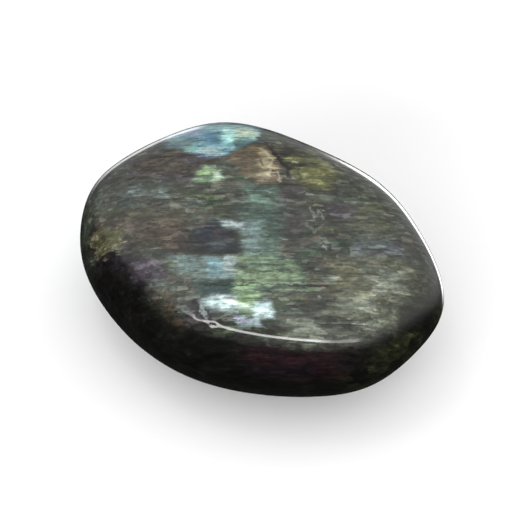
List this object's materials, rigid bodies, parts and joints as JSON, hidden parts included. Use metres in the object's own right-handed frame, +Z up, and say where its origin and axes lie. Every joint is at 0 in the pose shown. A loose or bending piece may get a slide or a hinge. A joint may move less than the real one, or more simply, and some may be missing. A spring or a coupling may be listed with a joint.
{
  "type": "labradorite tumbled stone",
  "caption": "Thick oval polished labradorite pebble with softly worn flats and a blue, green and gold sheen, lying on a small flat under its belly.",
  "frame": {"origin": "under the middle of the stone's outline, on the plane of the flat that it rests on", "axes": "+X along the stone's length towards its blunter end, +Y across it towards the back, +Z up"},
  "size_m": [0.06, 0.046, 0.028],
  "materials": {
    "labradorite": "high polish over dark grey-green feldspar, with fine parallel crystal lines and patches of blue, teal, green and gold sheen"
  },
  "bodies": {
    "root": {"stone": "labradorite"}
  },
  "joints": []
}
